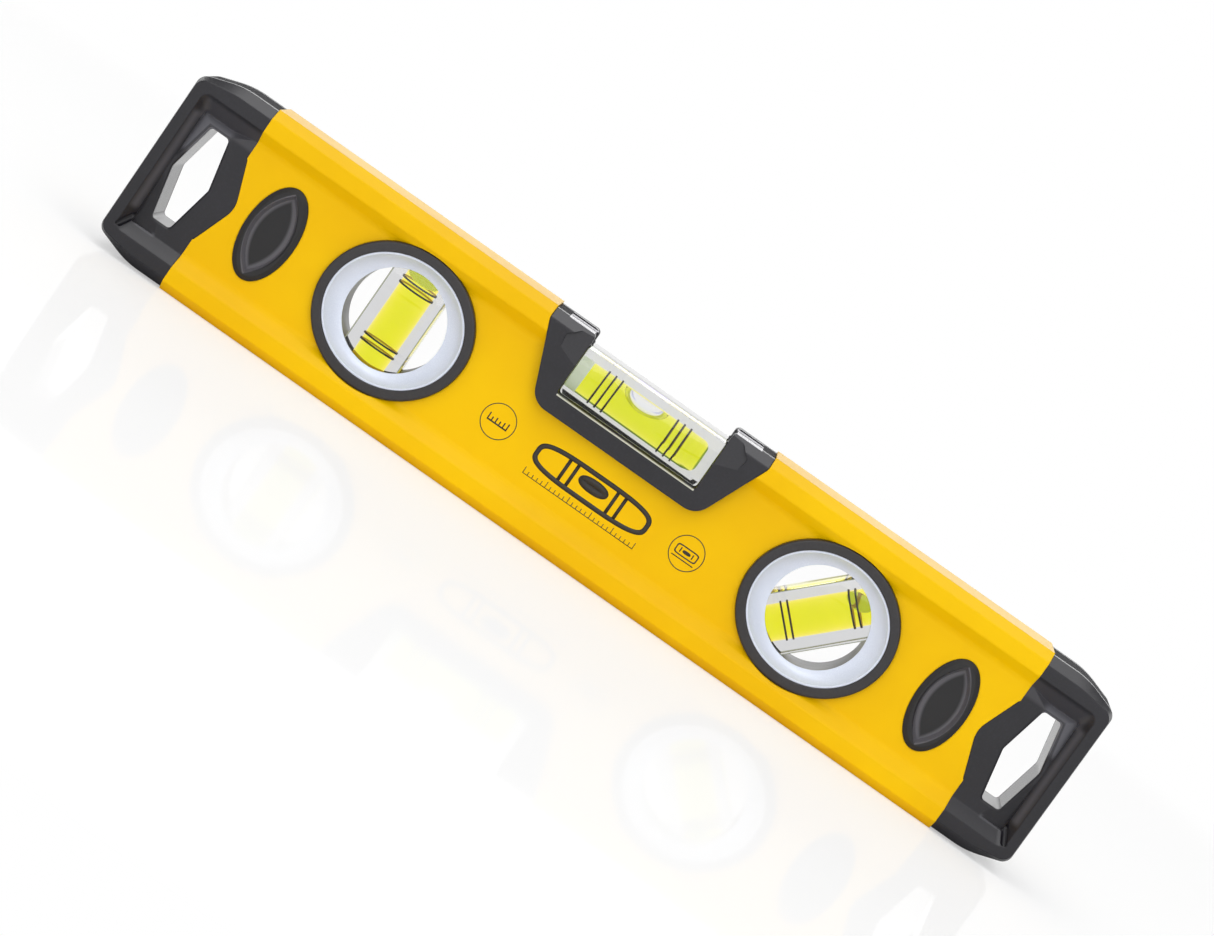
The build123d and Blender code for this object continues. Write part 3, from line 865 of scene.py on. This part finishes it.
@dataclass(frozen=True)
class AirBubble(Finish):
    """Air in the liquid: a bright core that gives off painted light, a painted dark outline, and a skin
    that takes the colour of the liquid.
    """

    tint: Colour = (0.93, 0.96, 0.90)
    skin: Colour = (0.80, 0.84, 0.30)
    # Painted shade: a dark outline round the core, where the bubble's edge bends light away.
    line: Colour = (0.42, 0.48, 0.10)
    bend: float = 1.12
    # Painted highlight: light that the core gives off, so that the bubble looks bright.
    painted_glint: Colour = NO_LIGHT
    centre: Pair = (0.0, 0.0)
    half: Pair = (1.0, 1.0)
    core: Pair = (0.74, 0.78)
    painted_outline_fade: Pair = (0.07, 0.03)
    ripple_size: float = 2.5
    ripple_depth: float = 0.002

    def draw(self, sheet: Sheet) -> None:
        """Draw the finish.

        The share is ((x - centre) / half) ** 2 + ((z - centre) / half) ** 2, which is 1 at the outline seen
        from the front. The core, which gives off painted light, ends at its squared limits, and a painted
        dark outline follows it there.

        Args:
            sheet: The empty tree.
        """
        ripple = sheet.noise(self.ripple_size, 1.0)
        across = (sheet.axis("X") - self.centre[0]) * (1 / self.half[0])
        up = (sheet.axis("Z") - self.centre[1]) * (1 / self.half[1])
        share = across * across + up * up
        start, stop = self.core
        # The core gives off the painted light, and the painted dark outline follows its edge.
        out = sheet.step(share, start**2, stop**2)
        line = out * sheet.step(share, *((stop + beyond) ** 2 for beyond in self.painted_outline_fade))
        colour = sheet.blend(line, sheet.blend(out, self.tint, self.skin), self.line)
        looks = {
            "Base Color": colour,
            "Roughness": 0.0,
            "IOR": self.bend,
            "Transmission Weight": 1.0,
            "Emission Color": sheet.blend(out, self.painted_glint, NO_LIGHT),
            "Emission Strength": 1.0,
            "Normal": sheet.bump(ripple, self.ripple_depth),
        }
        sheet.coat(looks)


@dataclass(frozen=True)
class MilkyPlastic(Finish):
    """Cloudy white plastic of the plugs, with a painted glow that stands in for light from the dyed liquid.
    """

    colour: Colour = (0.80, 0.82, 0.82)
    pale: Colour = (0.9, 0.91, 0.9)
    # Painted glow: the plugs give off a greenish light, standing in for light scattered from the dyed
    # liquid.
    glow: Colour = (0.16, 0.19, 0.11)
    dim_painted_glow: Colour = (0.13, 0.155, 0.09)
    gloss: float = 0.35
    clear: float = 0.45
    cloud_size: float = 1.6
    cloud_depth: float = 0.02

    def draw(self, sheet: Sheet) -> None:
        """Draw the finish.

        Args:
            sheet: The empty tree.
        """
        cloud = sheet.noise(self.cloud_size, 3.0)
        looks = {
            "Base Color": sheet.blend(cloud, self.colour, self.pale),
            "Roughness": self.gloss + (cloud - 0.5) * 0.2,
            "IOR": PLASTIC_IOR,
            "Transmission Weight": self.clear,
            "Emission Color": sheet.blend(cloud, self.glow, self.dim_painted_glow),
            "Emission Strength": 1.0,
            "Normal": sheet.bump(cloud, self.cloud_depth),
        }
        sheet.coat(looks)


@dataclass(frozen=True)
class PrintedInk(Finish):
    """Thin ink, a little uneven where it meets what is under it."""

    colour: Colour = linear(38, 34, 30)
    thin: Colour = linear(60, 52, 34)
    gloss: float = 0.5
    fleck_size: float = 0.22
    fleck_depth: float = 0.004

    def draw(self, sheet: Sheet) -> None:
        """Draw the finish.

        Args:
            sheet: The empty tree.
        """
        fleck = sheet.noise(self.fleck_size, 3.0)
        colour = sheet.blend(sheet.step(fleck, 0.5, 0.8), self.colour, self.thin)
        sheet.solid(colour, self.gloss + (fleck - 0.5) * 0.2, sheet.bump(fleck, self.fleck_depth))


# ------------------------------------------------------------------ sub-assemblies
BLACK = linear(22, 21, 27)
BLACK_WORN = linear(33, 32, 40)
# Smooth parts of the black plastics, and paler parts with painted highlights, reflections and light, as
# boxes in X, Y and Z.
MATT_TOPS = Zone((18.0, 124.0), (0.0, 6.0), (43.5, 50.0), BLACK, gloss=0.95)
# Painted highlight: the holder's ear tops are pale where light would glance off them.
EAR_TOP_HIGHLIGHT = Zone((19.2, 26.3), (-10.0, 5.5), (48.05, 48.32), linear(225, 224, 228), both_faces=False)
# Painted highlight: a pale line along the front edge of the holder's lip.
LIP_EDGE_HIGHLIGHT = Zone((0.0, 18.7), (10.0, 11.5), (32.1, 32.5), linear(200, 200, 185), gloss=0.4)
# Painted reflection: the walls and floor of the hanging hole are paler grey, as if they mirrored the
# surroundings.
HOLE_WALL_REFLECTION = Zone((108.5, 119.4), (-1.0, 6.7), (11.0, 37.0), linear(106, 105, 110))
HOLE_FLOOR_REFLECTION = Zone((108.5, 119.4), (-1.0, 6.7), (11.0, 13.0), linear(96, 95, 99), gloss=0.33)
# Painted light: the downward-facing wall high in the cap's recess is paler, as if lit from below.
UPPER_LEDGE_LIGHT = Zone((103.0, 120.6), (6.8, 10.8), (37.1, 42.0), linear(58, 57, 62), gloss=0.4, soft=0.6)
# Painted highlight: a soft pale band along the side edge of the cap's recess.
SIDE_LEDGE_HIGHLIGHT = Zone((120.2, 121.6), (8.08, 10.8), (12.0, 38.0), linear(76, 75, 80), gloss=0.4, soft=0.8)
# Painted light: the facet that falls away above the hanging hole is paler, as if strongly lit.
CORNER_FALL_LIGHT = Zone((111.5, 119.6), (6.75, 7.97), (29.0, 38.3), linear(98, 98, 104), gloss=0.35, soft=1.0)
# Painted highlight: a pale line along the crease low in the cap's recess.
LOW_CREASE_HIGHLIGHT = Zone((113.6, 118.6), (7.9, 8.5), (8.6, 9.4), linear(74, 74, 79), gloss=0.35, soft=0.4)
CAP_GLOSS_AND_LIGHT = (MATT_TOPS, UPPER_LEDGE_LIGHT, SIDE_LEDGE_HIGHLIGHT, CORNER_FALL_LIGHT, LOW_CREASE_HIGHLIGHT, HOLE_WALL_REFLECTION, HOLE_FLOOR_REFLECTION)
MARK_INK = PrintedInk(linear(10, 11, 8), linear(18, 20, 12))


@dataclass(frozen=True)
class Casing:
    """Painted box profile with its two end caps and the oval inserts."""

    paint: PaintedMetal = PaintedMetal()
    cap: MouldedPlastic = MouldedPlastic(BLACK, BLACK_WORN, edge=0.4, zones=CAP_GLOSS_AND_LIGHT)
    insert: MouldedPlastic = InsertPlastic(
        linear(18, 17, 20), linear(27, 26, 29), gloss=0.5, grain_size=0.4, edge=0.25
    )

    def build(self) -> None:
        """Dress the nodes of the casing."""
        dress("profile", self.paint.material("yellow_powder_paint"))
        cap = self.cap.material("moulded_black_cap")
        insert = self.insert.material("moulded_black_insert")
        for side in ("left", "right"):
            dress(f"end_cap_{side}", cap)
            for face in ("front", "rear"):
                dress(f"oval_insert_{face}_{side}", insert)


@dataclass(frozen=True)
class FrontPrint:
    """Ink on the front: a ruled line and a vial sign, and a small ring with a sign on each side.

    A Ring holds its half width, its half height, the width of its line and its power.
    """

    web_y: float = -8.02
    ring_x: Pair = (-26.0, 25.7)
    ring_dz: float = -5.0
    ring: Ring = (4.25, 4.25, 0.22, 2.0)
    sign_dz: float = -5.4
    sign_rim: Ring = (15.5, 3.9, 1.15, 3.4)
    sign_bars: tuple[float, ...] = (-7.6, -5.4, 5.4, 7.6)
    sign_bar: float = 0.42
    bubble: Ring = (3.9, 1.7, 1.7, 2.3)
    bubble_rise: float = 0.55
    rule_dz: float = -11.2
    rule_half: float = 15.0
    rule_base: float = 15.1
    rule_line: float = 0.18
    rule_ticks: int = 26
    tick: float = 0.09
    tick_tops: Pair = (0.85, 1.5)
    ruler_half: float = 2.5
    ruler_tick: float = 0.15
    ruler_tops: tuple[float, ...] = (0.9, 0.3, 0.6, 0.3, 0.6, 0.9)
    ruler_base: Pair = (-0.95, -0.6)
    small_rim: Ring = (2.9, 1.25, 0.3, 6.0)
    small_vial: Ring = (1.05, 0.42, 0.42, 2.6)
    small_bars: tuple[float, ...] = (-1.6, 1.6)
    small_bar: Pair = (0.14, 0.6)
    stand: Pair = (-2.0, -1.75)
    film: float = 0.015
    ink: PrintedInk = PrintedInk()

    def vial_sign(self) -> Surface:
        """Draw a vial with a bubble between two pairs of bars.

        Returns:
            The sign, about its middle.
        """
        _, half_z, line, _ = self.sign_rim
        inner = half_z - line
        bars = film_bars(self.sign_bars, self.sign_bar, -inner, inner)
        bubble = film_ring(*self.bubble).shifted(z=self.bubble_rise)
        return film_ring(*self.sign_rim).plus(bars).plus(bubble)

    def ruled_line(self) -> Surface:
        """Draw a thin line with ticks, every fifth one taller.

        Returns:
            The line, about the middle of its upper edge.
        """
        count, half = self.rule_ticks, self.rule_half
        low, high = self.tick_tops
        tops = np.where(np.arange(count) % 5 == 0, high, low)
        ticks = film_bars(np.linspace(-half, half, count), self.tick, 0.0, tops)
        return ticks.plus(film_bars(0.0, self.rule_base, -self.rule_line, 0.0))

    def ruler_ring(self) -> Surface:
        """Draw a ring round a short ruler.

        Returns:
            The sign, about the ring's middle.
        """
        low, high = self.ruler_base
        places = np.linspace(-self.ruler_half, self.ruler_half, len(self.ruler_tops))
        ticks = film_bars(places, self.ruler_tick, high, self.ruler_tops)
        base = film_bars(0.0, self.ruler_half + self.ruler_tick, low, high)
        return film_ring(*self.ring).plus(ticks).plus(base)

    def level_ring(self) -> Surface:
        """Draw a ring round a small level with its vial.

        Returns:
            The sign, about the ring's middle.
        """
        body, vial = film_ring(*self.small_rim), film_ring(*self.small_vial)
        wide, tall = self.small_bar
        bars = film_bars(self.small_bars, wide, -tall, tall)
        stand = film_bars(0.0, self.small_rim[0], *self.stand)
        return film_ring(*self.ring).plus(body).plus(vial).plus(bars).plus(stand)

    def build(self) -> None:
        """Make the prints, thin films on the web."""
        ink = self.ink.material("print_ink")
        middle = Extent.of("profile").middle[2]
        left, right = self.ring_x
        films = {
            "print_vial_sign": self.vial_sign().shifted(z=self.sign_dz),
            "print_rule": self.ruled_line().shifted(z=self.rule_dz),
            "print_ruler_ring": self.ruler_ring().shifted(x=left, z=self.ring_dz),
            "print_level_ring": self.level_ring().shifted(x=right, z=self.ring_dz),
        }
        for name, film in films.items():
            made = piece(name, film.shifted(y=self.web_y, z=middle), [ink], CASING)
            thick = made.modifiers.new("thickness", "SOLIDIFY")
            thick.thickness = self.film * MM
            thick.offset = -1.0


@dataclass(frozen=True)
class TopVial:
    """Black holder in the notch with the clear block of the horizontal vial."""

    upper_corner: float = 0.12
    lower_corner: float = 0.8
    ease: float = 0.06
    sag: float = 0.06
    rounds: Pair = (0.2, 1.8)
    # The holder's zones paint highlights on its ear tops and along its lip's edge.
    holder: MouldedPlastic = MouldedPlastic(BLACK, BLACK_WORN, zones=(MATT_TOPS, EAR_TOP_HIGHLIGHT, LIP_EDGE_HIGHLIGHT))
    block: ClearAcrylic = ClearAcrylic((0.905, 0.91, 0.905), (0.885, 0.89, 0.88))
    liquid: DyedLiquid = DyedLiquid(glow=(0.145, 0.1, 0.0), dim_painted_glow=(0.125, 0.09, 0.0))
    # Width of the painted shade line at the liquid's lower edge and end.
    shade_line_width: float = 0.3
    # The level bubble's core gives off painted blue light, so that it looks white through the yellow-green
    # liquid.
    air: AirBubble = AirBubble(painted_glint=(0.03, 0.01, 0.85), half=(5.75, 3.3))
    air_rise: float = 3.75
    plug: MilkyPlastic = MilkyPlastic()
    marks: PrintedInk = MARK_INK

    def build(self) -> None:
        """Dress the holder, and make the block and its filling."""
        dress("vial_holder", self.holder.material("moulded_black_holder"))
        dress("level_plug", self.plug.material("milky_plug_level"))
        dress("level_marks", self.marks.material("ring_ink_level"))
        box = Extent.of("level_vial")
        middle, half = box.middle, box.half
        outline = rounded_box(half[0], half[2], self.upper_corner, self.lower_corner)
        solid = slab(outline, half[1], self.ease)
        acrylic = self.block.material("clear_acrylic_block")
        clear = piece("level_block", solid.shifted(*middle), [acrylic], CASING)
        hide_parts("level_vial")
        box = Extent.of("level_liquid")
        radius = box.half[1]
        bore = barrel(box.low[0], box.high[0], radius, self.sag, self.rounds)
        axis = Extent.of("level_plug").middle[2]
        centre = (Extent.of("level_bubble").middle[0], axis + self.air_rise)
        dress("level_bubble", replace(self.air, centre=centre).material("air_level"))
        # The painted shade line starts near the bottom of the bore and near its end.
        below, beyond = axis - radius + self.shade_line_width, box.high[0] - self.shade_line_width
        dyed = replace(self.liquid, shade_line_below=below, shade_line_beyond=beyond)
        liquid = dyed.material("dyed_liquid_level")
        fill = piece("level_fill", bore.shifted(z=axis), [liquid], CASING)
        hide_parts("level_liquid")


class Tilt(Enum):
    """The two window vials and the angle of each in degrees."""

    PLUMB = 90.0
    ANGLE = 45.0


@dataclass(frozen=True)
class WindowVial:
    """Oval window: black bezels, pale dishes and a clear bar with its vial."""

    tilt: Tilt
    bar_half_width: float = 7.2
    bar_end_radius: float = 15.0
    bar_half_depth: float = 5.2
    ease: float = 0.25
    bore_half: float = 12.4
    bore_radius: float = 4.22
    sag: float = 0.06
    rounds: Pair = (1.0, 1.0)
    bezel: MouldedPlastic = MouldedPlastic(linear(42, 40, 42), linear(52, 50, 53), edge=0.35)
    dish: SatinSilver = SatinSilver()
    bar: ClearAcrylic = ClearAcrylic()
    # Painted shade: the bar's eased rims are tinted dark, standing in for the dark lines at the edges of
    # clear acrylic.
    shaded_bar_rim: ClearAcrylic = ClearAcrylic((0.24, 0.27, 0.18), (0.34, 0.37, 0.27))
    liquid: DyedLiquid = DyedLiquid()
    air: AirBubble = AirBubble(tint=(0.42, 0.58, 0.3), core=(900.0, 901.0))
    plug: MilkyPlastic = MilkyPlastic()
    marks: PrintedInk = MARK_INK

    @property
    def word(self) -> str:
        """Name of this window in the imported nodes."""
        return self.tilt.name.lower()

    def build(self) -> None:
        """Dress the rings, and make the bar and its filling."""
        word = self.word
        x, _, z = Extent.of(f"{word}_bezel_front").middle
        bezel = self.bezel.material(f"moulded_black_bezel_{word}")
        dish = replace(self.dish, middle=z).material(f"satin_silver_{word}")
        for face in ("front", "rear"):
            dress(f"{word}_bezel_{face}", bezel)
            dress(f"{word}_dish_{face}", dish)
        dress(f"{word}_plug", self.plug.material(f"milky_plug_{word}"))
        dress(f"{word}_marks", self.marks.material(f"ring_ink_{word}"))
        dress(f"{word}_bubble", self.air.material(f"air_{word}"))
        outline = rounded_bar(self.bar_half_width, self.bar_end_radius)
        solid = slab(outline, self.bar_half_depth, self.ease).tilted(self.tilt.value).shifted(x, 0, z)
        acrylic = [self.bar.material(f"clear_acrylic_{word}"), self.shaded_bar_rim.material(f"acrylic_rim_{word}")]
        clear = piece(f"{word}_bar", solid, acrylic, CASING)
        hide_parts(f"{word}_vial")
        bore = barrel(-self.bore_half, self.bore_half, self.bore_radius, self.sag, self.rounds)
        bore = bore.tilted(self.tilt.value).shifted(x, 0, z)
        liquid = [self.liquid.material(f"dyed_liquid_{word}")]
        fill = piece(f"{word}_fill", bore, liquid, CASING)
        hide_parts(f"{word}_liquid")


# ------------------------------------------------------------------ studio
@dataclass(frozen=True)
class Softbox:
    """Soft rectangular lamp that points at the middle of the level; lengths in metres."""

    name: str
    place: Point
    size: Pair
    power: float
    gloss_only: bool = False
    aim: Point = (0.0, 0.0, 0.02)

    def build(self) -> None:
        """Put the lamp in the scene, unseen by the camera and through clear parts."""
        lamp = bpy.data.lights.new(self.name, "AREA")
        lamp.shape = "RECTANGLE"
        lamp.size, lamp.size_y = self.size
        lamp.energy = self.power
        made = bpy.data.objects.new(self.name, lamp)
        made.location = self.place
        made.rotation_mode = "QUATERNION"
        made.rotation_quaternion = (Vector(self.aim) - made.location).to_track_quat("-Z", "Y")
        made.visible_camera = False
        made.visible_transmission = False
        made.visible_diffuse = not self.gloss_only
        bpy.context.scene.collection.objects.link(made)
        LOG.info("lamp %s: %.1f W", self.name, self.power)


@dataclass(frozen=True)
class Studio:
    """Pale floor, even pale surroundings and soft lamps; lengths in metres."""

    floor_half: float = 3.0
    floor_white: float = 0.95
    seen_white: float = 0.56
    seen_lift: float = 0.5
    clear_from: Pair = (0.33, 0.42)
    through: float = 0.72
    mirror: float = 0.085
    mirror_blur: float = 0.04
    speck_size: float = 0.9
    speck_depth: float = 0.03
    sky: float = 0.33
    horizon: float = 1.15
    horizon_fade: Pair = (0.3, 0.12)
    lamps: tuple[Softbox, ...] = (
        Softbox("lamp_front", (0.1, -1.5, 0.5), (1.8, 0.8), 6.2),
        Softbox("lamp_top", (-0.1, -0.65, 1.1), (1.8, 1.2), 7.0),
        Softbox("lamp_over", (-0.1, -0.1, 1.2), (1.6, 0.8), 3.0),
        Softbox("lamp_gloss", (-0.1, 0.1, 1.3), (1.6, 0.8), 9.0, gloss_only=True),
        Softbox("lamp_back", (0.0, 1.4, 0.5), (2.4, 0.4), 6.5),
    )

    def floor_material(self) -> bpy.types.Material:
        """Make a matt floor that lights the level, where the camera sees white and a soft shadow.

        Returns:
            Its material.
        """
        made = bpy.data.materials.new("studio_floor")
        sheet = Sheet(made)
        speck = sheet.noise(self.speck_size / MM) * self.speck_depth
        matt = self.matt(sheet, speck + self.floor_white)
        pale = self.matt(sheet, speck + self.seen_white)
        lit = sheet.signal("ShaderNodeAddShader", inputs={0: pale, 1: sheet.glow(self.seen_lift)})
        gloss = sheet.signal("ShaderNodeBsdfGlossy", inputs={"Roughness": self.mirror_blur})
        length = {"operation": "LENGTH"}
        away = sheet.signal("ShaderNodeVectorMath", length, {0: sheet.place()}, output="Value")
        far = sheet.step(away, *self.clear_from)
        seen = sheet.mix(far, sheet.mix(self.mirror, lit, gloss), sheet.glow(1.0))
        direct, through = seen_by(sheet)
        sheet.finish(sheet.mix(through, sheet.mix(direct, matt, seen), sheet.glow(self.through)))
        return made

    @staticmethod
    def matt(sheet: Sheet, grey: Signal) -> Signal:
        """Diffuse shader of a grey signal."""
        return sheet.signal("ShaderNodeBsdfDiffuse", inputs={"Color": sheet.blend(grey, NO_LIGHT, WHITE)})

    def build(self) -> None:
        """Make the floor, the surroundings and the lamps."""
        mesh = bpy.data.meshes.new("floor")
        square = [(-1, -1), (1, -1), (1, 1), (-1, 1)]
        half = self.floor_half
        mesh.from_pydata([(half * x, half * y, 0) for x, y in square], [], [(0, 1, 2, 3)])
        mesh.materials.append(self.floor_material())
        floor = bpy.data.objects.new("floor", mesh)
        bpy.context.scene.collection.objects.link(floor)
        world = bpy.data.worlds.new("surroundings")
        bpy.context.scene.world = world
        sheet = Sheet(world)
        heading = sheet.signal("ShaderNodeTexCoord", output="Generated")
        climb = sheet.signal("ShaderNodeSeparateXYZ", inputs={0: heading}, output="Z")
        dome = self.sky + sheet.step(climb, *self.horizon_fade) * (self.horizon - self.sky)
        direct, through = seen_by(sheet)
        strength = dome * (1 - direct) * (1 - through) + direct + through * self.through
        white = {"Color": rgba(WHITE), "Strength": strength}
        sheet.finish(sheet.signal("ShaderNodeBackground", inputs=white))
        for lamp in self.lamps:
            lamp.build()


def seen_by(sheet: Sheet) -> tuple[Signal, Signal]:
    """Signals that are 1 for rays straight from the camera, and 1 for rays through clear parts."""
    path = sheet.node("ShaderNodeLightPath")
    return Signal(sheet, path.outputs["Is Camera Ray"]), Signal(sheet, path.outputs["Is Transmission Ray"])


@dataclass(frozen=True)
class Viewpoint:
    """Camera in front and a little above, rolled so that the level slopes; lengths in millimetres."""

    elevation: float = 6.8
    distance: float = 900.0
    roll: float = 35.05
    lens: float = 117.7
    aim_drop: float = 0.45
    film_width: float = 36.0
    clip: Pair = (50.0, 30000.0)

    def build(self) -> None:
        """Make the camera and make it the scene's own.

        It looks at the aim along its own -Z, tipped up from straight down and rolled about that line.
        """
        data = bpy.data.cameras.new("camera")
        data.lens = self.lens
        data.sensor_width = self.film_width
        data.clip_start, data.clip_end = (limit * MM for limit in self.clip)
        camera = bpy.data.objects.new("camera", data)
        aim = Vector((0, 0, Extent.of("profile").middle[2] - self.aim_drop)) * MM
        tipped = Matrix.Rotation(math.radians(90 - self.elevation), 4, "X")
        rolled = Matrix.Rotation(math.radians(self.roll), 4, "Z")
        away = Matrix.Translation((0, 0, self.distance * MM))
        camera.matrix_world = Matrix.Translation(aim) @ tipped @ rolled @ away
        bpy.context.scene.collection.objects.link(camera)
        bpy.context.scene.camera = camera


def main() -> None:
    """Build the studio and each sub-assembly."""
    logging.basicConfig(level=logging.INFO, format="%(name)s: %(message)s")
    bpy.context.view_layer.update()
    Viewpoint().build()
    Studio().build()
    for part in (Casing(), FrontPrint(), TopVial(), WindowVial(Tilt.PLUMB), WindowVial(Tilt.ANGLE)):
        LOG.info("sub-assembly %s", type(part).__name__)
        part.build()
    bpy.context.scene.view_settings.view_transform = "Standard"


if __name__ == "__main__":
    main()
